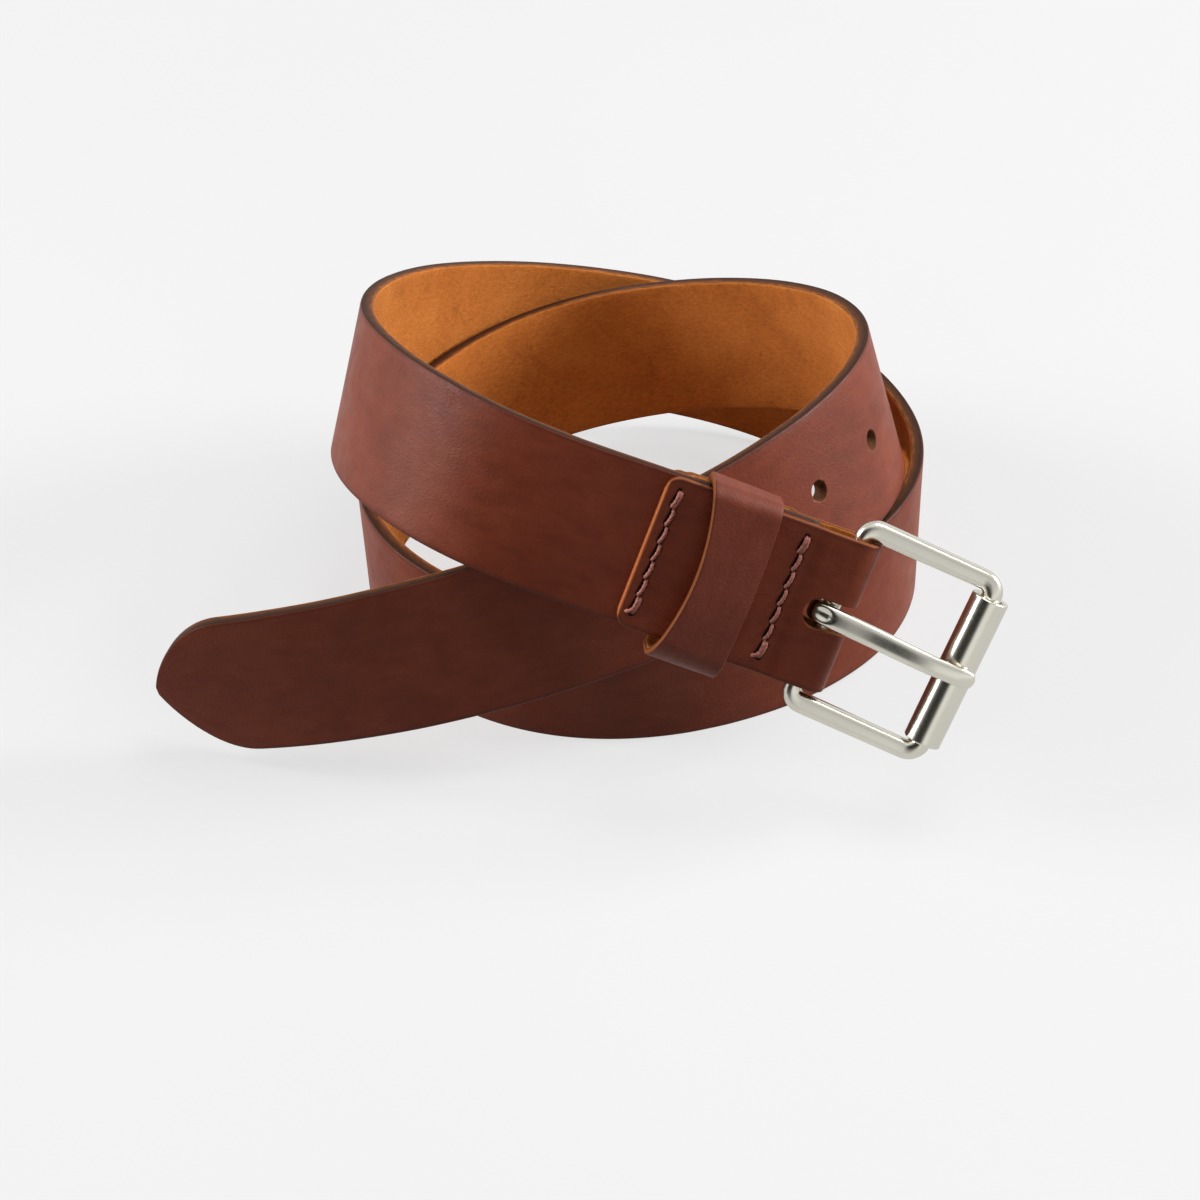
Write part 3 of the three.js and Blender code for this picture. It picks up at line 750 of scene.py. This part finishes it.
def chape_path():
    """The middle line of the folded leaf in side view, from the front free edge to the back one."""
    half = LEAF_THICKNESS / 2
    flat = STRAP_THICKNESS / 2 + GAP + half
    pocket = HEEL_RADIUS + GAP + 0.0001 + half
    lift = KEEPER_THICKNESS + GAP
    front = np.linspace(-CHAPE_LENGTH, FOLD_SHIFT, 160, endpoint=False)
    back = front[::-1]
    rise = ease(front, -POCKET_LENGTH - POCKET_RAMP, -POCKET_LENGTH)
    hump = ease(back, -HUMP_END - HUMP_RAMP / 2, -HUMP_END + HUMP_RAMP / 2)
    hump *= 1 - ease(back, -HUMP_START - HUMP_RAMP / 2, -HUMP_START + HUMP_RAMP / 2)
    angles = np.radians(np.linspace(90, -90, 26))
    fold = np.stack([FOLD_SHIFT + pocket * np.cos(angles), pocket * np.sin(angles)], 1)
    top = np.stack([front, flat + (pocket - flat) * rise], 1)
    under = np.stack([back, -(flat + (pocket - flat) * rise[::-1] + lift * hump)], 1)
    return np.concatenate([top, fold, under])


def stitch_places():
    """The middle of each stitch along a row, and whether its thread is doubled."""
    ends = (0, STITCH_COUNT - 1)
    return [(ROW_TOP - (i + 0.5) * STITCH_PITCH, i in ends) for i in range(STITCH_COUNT)]


def stitch_recess(x, y):
    """How far the leaf is pressed in at (x, y) by the stitches."""
    depth = np.zeros_like(x)
    for row in ROWS.values():
        for middle, doubled in stitch_places():
            side = x - row + STITCH_SLANT * (y - middle) * -1
            reach = np.maximum(np.abs(y - middle) - 0.36 * STITCH_PITCH, 0)
            wide = 0.00092 if doubled else 0.00072
            trough = np.exp(-((side / wide) ** 2 + (reach / 0.00035) ** 2) ** 1.5)
            depth = np.maximum(depth, 0.00042 * trough)
            for end in (-0.5, 0.5):
                hole = ((x - row) ** 2 + (y - middle - end * STITCH_PITCH) ** 2) ** 0.5
                depth = np.maximum(depth, 0.0009 * np.exp(-((hole / 0.00048) ** 3)))
    return depth


def chape_outline(from_end):
    """Half the leaf's width and half its thickness, at distances from the nearer free end."""
    bend = np.clip(CHAPE_CORNER - from_end, 0, CHAPE_CORNER)
    half = CHAPE_WIDTH / 2 - CHAPE_CORNER + np.sqrt(CHAPE_CORNER**2 - bend**2)
    end_round = np.clip(LEAF_END_ROUND - from_end, 0, LEAF_END_ROUND)
    thick = LEAF_THICKNESS / 2 - LEAF_END_ROUND + np.sqrt(LEAF_END_ROUND**2 - end_round**2)
    return half, thick


def press_stitches(rings):
    """Presses the leaf's outer face in under the stitches, and gives how far at each point."""
    flat = STRAP_THICKNESS / 2 + GAP + LEAF_THICKNESS
    x, y, z = rings[..., 0], rings[..., 1], rings[..., 2]
    outer = np.clip((np.abs(z) - flat + 0.0009) / 0.0008, 0, 1)
    pressed = stitch_recess(x, y) * outer
    rings[..., 2] = z - np.sign(z) * pressed
    return pressed


def make_chape(materials):
    path = chape_path()
    distance = lengths_along(path)
    tangent = unit(np.gradient(path, distance, axis=0))
    outward = np.stack([-tangent[:, 1], tangent[:, 0]], 1)
    from_end = np.minimum(distance, distance[-1] - distance)
    half, thick = chape_outline(from_end)
    columns = 128
    rings = []
    for (x, z), (nx, nz), h, t in zip(path, outward, half, thick):
        section = band_section(h, t, LEAF_CORNER, columns)
        y, out = -section[:, 0], section[:, 1]
        rings.append(np.stack([x + out * nx, y, z + out * nz], 1))
    rings = np.array(rings)
    pressed = press_stitches(rings)
    strips = band_strips(CHAPE_WIDTH / 2, LEAF_THICKNESS / 2, LEAF_CORNER, columns)
    chape = sweep("chape_leather", placed(rings, CHAPE), distance, strips, materials)
    ends = np.repeat(np.clip(1 - from_end / RAW_END_REACH, 0, 1), rings.shape[1])
    add_groove_layer(chape.data, pressed.ravel() / GROOVE_DEPTH, ends)
    carve(chape, slot_cutter(materials[3]))
    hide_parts("chape")
    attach(chape, "belt")


def add_groove_layer(mesh, grooves, ends):
    """A second UV layer that holds each vertex's groove depth and its nearness to a cut end."""
    corners = np.zeros(len(mesh.loops), int)
    mesh.loops.foreach_get("vertex_index", corners)
    layer = mesh.uv_layers.new(name="groove")
    layer.data.foreach_set("uv", np.stack([grooves[corners], ends[corners]], 1).ravel())


def slot_cutter(material):
    radius, reach, depth = SLOT_WIDTH / 2, 0.009, 0.02
    outline = [(reach, BUCKLE_SHIFT - radius), (reach, BUCKLE_SHIFT + radius)]
    middle = radius - SLOT_LENGTH
    steps = 24
    for step in range(steps + 1):
        angle = math.radians(90 + 180 * step / steps)
        outline.append((middle + radius * math.cos(angle), BUCKLE_SHIFT + radius * math.sin(angle)))
    count = len(outline)
    points = [(x, y, z) for z in (-depth, depth) for x, y in outline]
    faces = [(i, (i + 1) % count, count + (i + 1) % count, count + i) for i in range(count)]
    faces.append(list(range(count - 1, -1, -1)))
    faces.append(list(range(count, 2 * count)))
    mesh = bpy.data.meshes.new("slot")
    mesh.from_pydata(placed(points, CHAPE).tolist(), [], faces)
    mesh.polygons.foreach_set("use_smooth", [True] * len(faces))
    return link_mesh("slot", mesh, [material])


def arc_points(cx, cy, radius, start, steps):
    """Points on a quarter circle from the angle start, in degrees."""
    points = []
    for step in range(steps + 1):
        angle = math.radians(start + 90 * step / steps)
        points.append((cx + radius * math.cos(angle), cy + radius * math.sin(angle)))
    return points


def keeper_edge(spec):
    """The loop's middle line at one edge of the band."""
    top, bottom, front = spec["top"], spec["bottom"], spec["front"]
    back = -(STRAP_THICKNESS / 2 + GAP + KEEPER_THICKNESS / 2)
    small, upper = KEEPER_BACK_CORNER, KEEPER_TOP_CORNER
    lower = min(KEEPER_BOTTOM_CORNER, (front - back) / 2)
    corners = [(top - small, back + small, small, -90), (top - upper, front - upper, upper, 0),
               (bottom + lower, front - lower, lower, 90), (bottom + small, back + small, small, 180)]
    arc_steps, side_steps = 14, 30
    arcs = [arc_points(*corner, arc_steps) for corner in corners]
    points = []
    for arc, after in zip(arcs, arcs[1:] + arcs[:1]):
        points += arc
        for step in range(1, side_steps):
            share = step / side_steps
            points.append([a * (1 - share) + b * share for a, b in zip(arc[-1], after[0])])
    height, depth = np.array(points).T
    arch = 4 * (top - height) * (height - bottom) / (top - bottom) ** 2
    rise = (depth - back) / (front - back)
    along = spec["along"] + spec["bow"] * arch * rise
    return np.stack([along, height, depth + spec["crown"] * arch * rise**4], 1)


def make_keeper(materials):
    near, far = keeper_edge(KEEPER_NEAR), keeper_edge(KEEPER_FAR)
    middle = (near + far) / 2
    travel = np.roll(middle, -1, 0) - np.roll(middle, 1, 0)
    across = near - far
    half = np.linalg.norm(across, axis=1) / 2
    across /= 2 * half[:, None]
    normal = unit(np.cross(travel, across))
    columns = 22
    rings = []
    for c, w, n, h in zip(middle, across, normal, half):
        section = band_section(h, KEEPER_THICKNESS / 2, KEEPER_EDGE_CORNER, columns)
        rings.append(c + section[:, :1] * w + section[:, 1:] * n)
    distance = lengths_round(middle)
    strips = band_strips(KEEPER_HALF_WIDTH, KEEPER_THICKNESS / 2, KEEPER_EDGE_CORNER, columns)
    keeper = sweep("keeper_leather", placed(rings, CHAPE), distance, strips, materials, loop=True)
    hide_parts("keeper")
    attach(keeper, "keeper")


# ---- stitches ----


def twisted_strand(points, radius, phase):
    """Rings of a three-ply thread along points."""
    points = np.array(points)
    lengths = lengths_along(points)
    tangent = unit(np.gradient(points, lengths, axis=0))
    side = unit(np.cross(tangent, [0, 0.15, 1]))
    up = np.cross(side, tangent)
    angle = 2 * math.pi * np.arange(THREAD_SIDES) / THREAD_SIDES
    rings = []
    for p, s, u, length in zip(points, side, up, lengths):
        swell = radius * (0.9 + 0.14 * np.cos(3 * angle + THREAD_TWIST * length + phase))
        rings.append(p + (swell * np.cos(angle))[:, None] * s + (swell * np.sin(angle))[:, None] * u)
    return rings, lengths


def stitch_points(row, middle, face, side, shift):
    """One stitch from hole to hole: it dips at both ends and lies slanted between them."""
    points = []
    for share in np.linspace(-1, 1, 19):
        y = middle + share * 0.5 * STITCH_PITCH * 0.97
        x = row + STITCH_SLANT * (y - middle) + 0.00028 * math.cos(share * math.pi / 2) + shift
        dip = 0.0011 * abs(share) ** 5
        points.append((x, y, side * (face + 0.00018 + 0.0001 * math.cos(share * math.pi / 2) - dip)))
    return points if side > 0 else points[::-1]


def stitch_row(row, side, material):
    """The loose stitches of one row on one face: side is 1 for the face and -1 for the back."""
    face = STRAP_THICKNESS / 2 + GAP + LEAF_THICKNESS
    strands = []
    for i, (middle, doubled) in enumerate(stitch_places()):
        for shift in (-0.00027, 0.0003) if doubled else (0.0,):
            radius = THREAD_RADIUS * (1.02 if doubled else random.uniform(0.95, 1.05))
            points = stitch_points(row, middle, face, side, shift)
            if doubled and i and shift < 0 and side > 0:
                points = hook(points)
            strands.append(strand_piece(points, radius, material))
    return strands


def make_stitches(material):
    for row_name, row in ROWS.items():
        for side_name, side in (("face", 1), ("back", -1)):
            piece = join(stitch_row(row, side, material), f"{row_name}_row_{side_name}_stitches")
            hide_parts(f"{row_name}_row_{side_name}_thread")
            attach(piece, "belt")


def hook(points):
    """The last stitch's end turned aside, where the thread was finished off."""
    bent = []
    for i, (x, y, z) in enumerate(points):
        share = max(0.0, (6 - i) / 6)
        bent.append((x - 0.0013 * share**1.4, y - 0.0002 * share, z + 0.0004 * math.sin(math.pi * share)))
    return bent


def strand_piece(points, radius, material):
    rings, lengths = twisted_strand(points, radius, random.uniform(0, 6))
    strips = round_strips(THREAD_SIDES, radius)
    return sweep("strand", placed(rings, CHAPE), lengths, strips, [material])


def join(pieces, name):
    """One object from several that share one material."""
    verts, faces, uvs = [], [], []
    for piece in pieces:
        start = len(verts)
        verts += [tuple(v.co) for v in piece.data.vertices]
        faces += [[start + v for v in p.vertices] for p in piece.data.polygons]
        uvs += [tuple(d.uv) for d in piece.data.uv_layers[0].data]
    mesh = bpy.data.meshes.new(name)
    mesh.from_pydata(verts, [], faces)
    mesh.polygons.foreach_set("use_smooth", [True] * len(faces))
    mesh.uv_layers.new(name="strip").data.foreach_set("uv", np.array(uvs).ravel())
    material = pieces[0].data.materials[0]
    for piece in pieces:
        bpy.data.objects.remove(piece)
    return link_mesh(name, mesh, [material])


# ---- buckle ----


def metal_ring(centre, across, normal, half_width, half_thickness, power, sides):
    angle = 2 * math.pi * (np.arange(sides) + 0.5) / sides
    x = np.sign(np.cos(angle)) * np.abs(np.cos(angle)) ** (2 / power) * half_width
    y = np.sign(np.sin(angle)) * np.abs(np.sin(angle)) ** (2 / power) * half_thickness
    return np.asarray(centre) + x[:, None] * np.asarray(across) + y[:, None] * np.asarray(normal)


def frame_stations():
    """The frame's middle line in plan as (centre, outward direction), round its four corners."""
    heel_y, front_y = FRAME_HALF_WIDTH - HEEL_CORNER, FRAME_HALF_WIDTH - FRONT_CORNER
    front_x = FRAME_LENGTH - FRONT_CORNER
    corners = [(front_x, -front_y, FRONT_CORNER, -90), (front_x, front_y, FRONT_CORNER, 0),
               (HEEL_CORNER, heel_y, HEEL_CORNER, 90), (HEEL_CORNER, -heel_y, HEEL_CORNER, 180)]
    steps = 14
    stations = []
    for c, (cx, cy, radius, start) in enumerate(corners):
        for step in range(steps + 1):
            angle = math.radians(start + 90 * step / steps)
            out = np.array([math.cos(angle), math.sin(angle), 0])
            stations.append((np.array([cx, cy, 0]) + radius * out, out))
        nx, ny, nr, ns = corners[(c + 1) % 4]
        to = np.array([nx + nr * math.cos(math.radians(ns)), ny + nr * math.sin(math.radians(ns)), 0])
        here = stations[-1][0]
        for step in range(1, steps):
            stations.append((here + (to - here) * step / steps, out))
    return stations


def frame_section(centre, out, sides):
    """The bar's ring at a station: round on the two cross bars and squarer on the sides."""
    sideways = abs(out[1]) ** 2
    bar = FRONT_BAR_RADIUS if centre[0] > FRAME_LENGTH / 2 else HEEL_RADIUS
    side_width = SIDE_HALF_WIDTH - SIDE_TAPER * ease(centre[0], 0, FRAME_LENGTH)
    half_width = bar + (side_width - bar) * sideways
    half_thickness = bar + (SIDE_HALF_THICKNESS - bar) * sideways
    power = 2 + 1.1 * sideways
    return metal_ring(centre, -out, (0, 0, 1), half_width, half_thickness, power, sides)


def make_frame(material):
    stations = frame_stations()
    sides = 36
    rings = [frame_section(centre, out, sides) for centre, out in stations]
    distance = lengths_round(np.array([centre for centre, _ in stations]))
    strips = round_strips(sides, 0.0023)
    piece = sweep("frame_metal", placed(rings, BUCKLE), distance, strips, [material], loop=True)
    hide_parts("buckle_frame")
    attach(piece, "buckle")


def roller_profile():
    """The tube's section as (radius, place along it), from one bore edge to the other."""
    half = ROLLER_LENGTH / 2
    bevel = ROLLER_BORE + ROLLER_BEVEL
    steps = 6
    low_lip, high_lip = [], []
    for step in range(steps + 1):
        angle = math.radians(90 * step / steps)
        low_lip.append((ROLLER_RADIUS - ROLLER_LIP + ROLLER_LIP * math.sin(angle),
                        -half + ROLLER_LIP - ROLLER_LIP * math.cos(angle)))
        angle = math.radians(90 - 90 * step / steps)
        high_lip.append((ROLLER_RADIUS - ROLLER_LIP + ROLLER_LIP * math.sin(angle),
                         half - ROLLER_LIP + ROLLER_LIP * math.cos(angle)))
    wall = [(ROLLER_RADIUS, y) for y in np.linspace(-half + 0.0008, half - 0.0008, 24)]
    start = [(ROLLER_BORE, -half + ROLLER_BEVEL), (bevel, -half)]
    end = [(bevel, half), (ROLLER_BORE, half - ROLLER_BEVEL)]
    return start + low_lip + wall + high_lip + end


def make_roller(material):
    """A rolled sheet tube with softened ends and a closed seam at the back."""
    profile = roller_profile()
    plain = 70
    seam = [-0.05, -0.028, -0.012, 0.0, 0.012, 0.028, 0.05]
    rest = np.linspace(0.12, 2 * math.pi - 0.12, plain)
    angles = np.concatenate([seam, rest]) + math.radians(SEAM_ANGLE)
    groove = np.concatenate([[0, 0, 0.5, 1, 0.5, 0, 0], np.zeros(plain)])
    radii, places = np.array(profile).T
    outer = radii > ROLLER_RADIUS - 0.0003
    rings = []
    for angle, dip in zip(angles, groove):
        r = radii - SEAM_DEPTH * dip * outer
        rings.append(np.stack([FRAME_LENGTH + r * math.cos(angle), -places, r * math.sin(angle)], 1))
    lengths = np.concatenate([(angles - angles[0]), [2 * math.pi]]) * ROLLER_RADIUS
    ends = [*places, places[0]]
    strips = [(ends[j], ends[j + 1], 0) for j in range(len(profile))]
    piece = sweep("roller_metal", placed(rings, BUCKLE), lengths, strips, [material], loop=True)
    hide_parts("roller")
    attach(piece, "roller")


def prong_line():
    """The prong's middle line in side view, from its curled end to its tip, every 0.4 mm or so."""
    curl = HEEL_RADIUS + GAP + PRONG_HALF_THICKNESS
    rest = ROLLER_RADIUS + GAP + PRONG_HALF_THICKNESS
    angles = np.radians(np.arange(290, 92, -6))
    start = np.stack([curl * np.cos(angles), curl * np.sin(angles)], 1)
    knots = np.array([
        [-0.004, curl - 0.0016], [0, curl], [FRAME_LENGTH * 0.35, curl + 0.001],
        [FRAME_LENGTH * 0.75, rest + 0.0003], [FRAME_LENGTH, rest + 0.0001],
        [FRAME_LENGTH + 0.0044, rest - 0.0012], [FRAME_LENGTH + 0.007, rest - 0.0025]])
    points = []
    for i in range(1, len(knots) - 2):
        before, here, there, after = knots[i - 1:i + 3]
        span = np.linalg.norm(there - here)
        m0 = (there - before) / np.linalg.norm(there - before) * span
        m1 = (after - here) / np.linalg.norm(after - here) * span
        for t in np.linspace(0, 1, 1 + max(4, int(span / 0.0004)))[:-1]:
            points.append((2 * t**3 - 3 * t**2 + 1) * here + (t**3 - 2 * t**2 + t) * m0
                          + (3 * t**2 - 2 * t**3) * there + (t**3 - t**2) * m1)
    points.append(knots[-2])
    return np.concatenate([start, points]), len(start)


def prong_sizes(line, lengths, curl_count):
    """Half the prong's width and half its thickness along its middle line."""
    shank = lengths[curl_count]
    share = np.clip((lengths - shank) / (lengths[-1] - shank), 0, 1)
    from_tip = lengths[-1] - lengths
    tip = np.sqrt(1 - np.clip(1 - from_tip / PRONG_TIP_ROUND, 0, 1) ** 2)
    head = np.exp(-(((line[:, 0] + 0.0015) / 0.006) ** 2))
    taper = PRONG_TIP_HALF_WIDTH - PRONG_HALF_WIDTH
    width = PRONG_HALF_WIDTH + taper * share**3 + 0.00012 * head
    thick = PRONG_HALF_THICKNESS * (1 - 0.25 * share**4) * (0.35 + 0.65 * tip)
    return width * (0.25 + 0.75 * tip), thick


def press_dimple(rings):
    """Presses the dimple into the outer side of the prong's head."""
    spot = np.array(DIMPLE)
    away = rings - spot
    along = np.hypot(away[..., 0], away[..., 2]) / 0.0021
    dip = DIMPLE_DEPTH * np.exp(-(along**2 + (away[..., 1] / 0.0014) ** 2) ** 1.5)
    inward = -spot / np.linalg.norm(spot)
    outer = np.einsum("ijk,k->ij", rings, -inward) > HEEL_RADIUS + GAP + PRONG_HALF_THICKNESS
    return rings + (dip * outer)[..., None] * inward


def make_prong(material):
    line, curl_count = prong_line()
    lengths = lengths_along(line)
    tangent = unit(np.gradient(line, lengths, axis=0))
    outward = np.stack([-tangent[:, 1], tangent[:, 0]], 1)
    width, thick = prong_sizes(line, lengths, curl_count)
    sides = 40
    rings = [metal_ring((x, 0, z), (0, 1, 0), (nx, 0, nz), w, t, 2.5, sides)
             for (x, z), (nx, nz), w, t in zip(line, outward, width, thick)]
    rings = press_dimple(np.array(rings))
    strips = round_strips(sides, 0.002)
    piece = sweep("prong_metal", placed(rings, BUCKLE), lengths, strips, [material])
    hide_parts("prong")
    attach(piece, "prong")


# ---- the scene ----


def make_floor():
    mesh = bpy.data.meshes.new("floor")
    size, sides = 1.6, 64
    ring = [(size * math.cos(2 * math.pi * i / sides), size * math.sin(2 * math.pi * i / sides), 0)
            for i in range(sides)]
    mesh.from_pydata(ring, [], [list(range(sides))])
    floor = link_mesh("floor", mesh, [floor_paint("floor_paint")])


def main():
    bpy.context.scene.view_settings.view_transform = "Standard"
    make_camera()
    make_world()
    make_area_light("overhead", (0.4, 0.1, 1.5), (0.8, 0.7), 10)
    make_area_light("right", (1.4, 0.2, 0.65), (0.5, 0.5), 26)
    make_area_light("left", (-1.4, 0.05, 0.7), (0.7, 0.7), 24)
    make_floor()

    strap_edge = cut_edge("strap_edge", SEALED_EDGE_TONES, STRAP_THICKNESS / 2)
    flesh = flesh_leather("flesh", FLESH_TONES)
    hole_wall = cut_edge("hole_wall", HOLE_TONES, HOLE_WALL_HALF)
    strap_grain = grain_leather("strap_grain", GRAIN_TONES)
    chape_grain = grain_leather("chape_grain", GRAIN_TONES, half_width=CHAPE_WIDTH / 2, is_sewn=True)
    keeper_grain = grain_leather("keeper_grain", KEEPER_TONES, KEEPER_PORE_SCALE, KEEPER_HALF_WIDTH)
    leaf_edge = cut_edge("leaf_edge", RAW_EDGE_TONES, LEAF_THICKNESS / 2)
    keeper_cut = cut_edge("keeper_edge", RAW_EDGE_TONES, KEEPER_THICKNESS / 2)

    make_strap([strap_grain, strap_edge, flesh, hole_wall])
    make_chape([chape_grain, leaf_edge, flesh, leaf_edge])
    make_keeper([keeper_grain, keeper_cut, flesh])
    make_stitches(waxed_thread("waxed_thread", THREAD_TONES))
    make_frame(satin_nickel("frame_nickel"))
    make_roller(satin_nickel("roller_nickel"))
    make_prong(satin_nickel("prong_nickel"))


main()
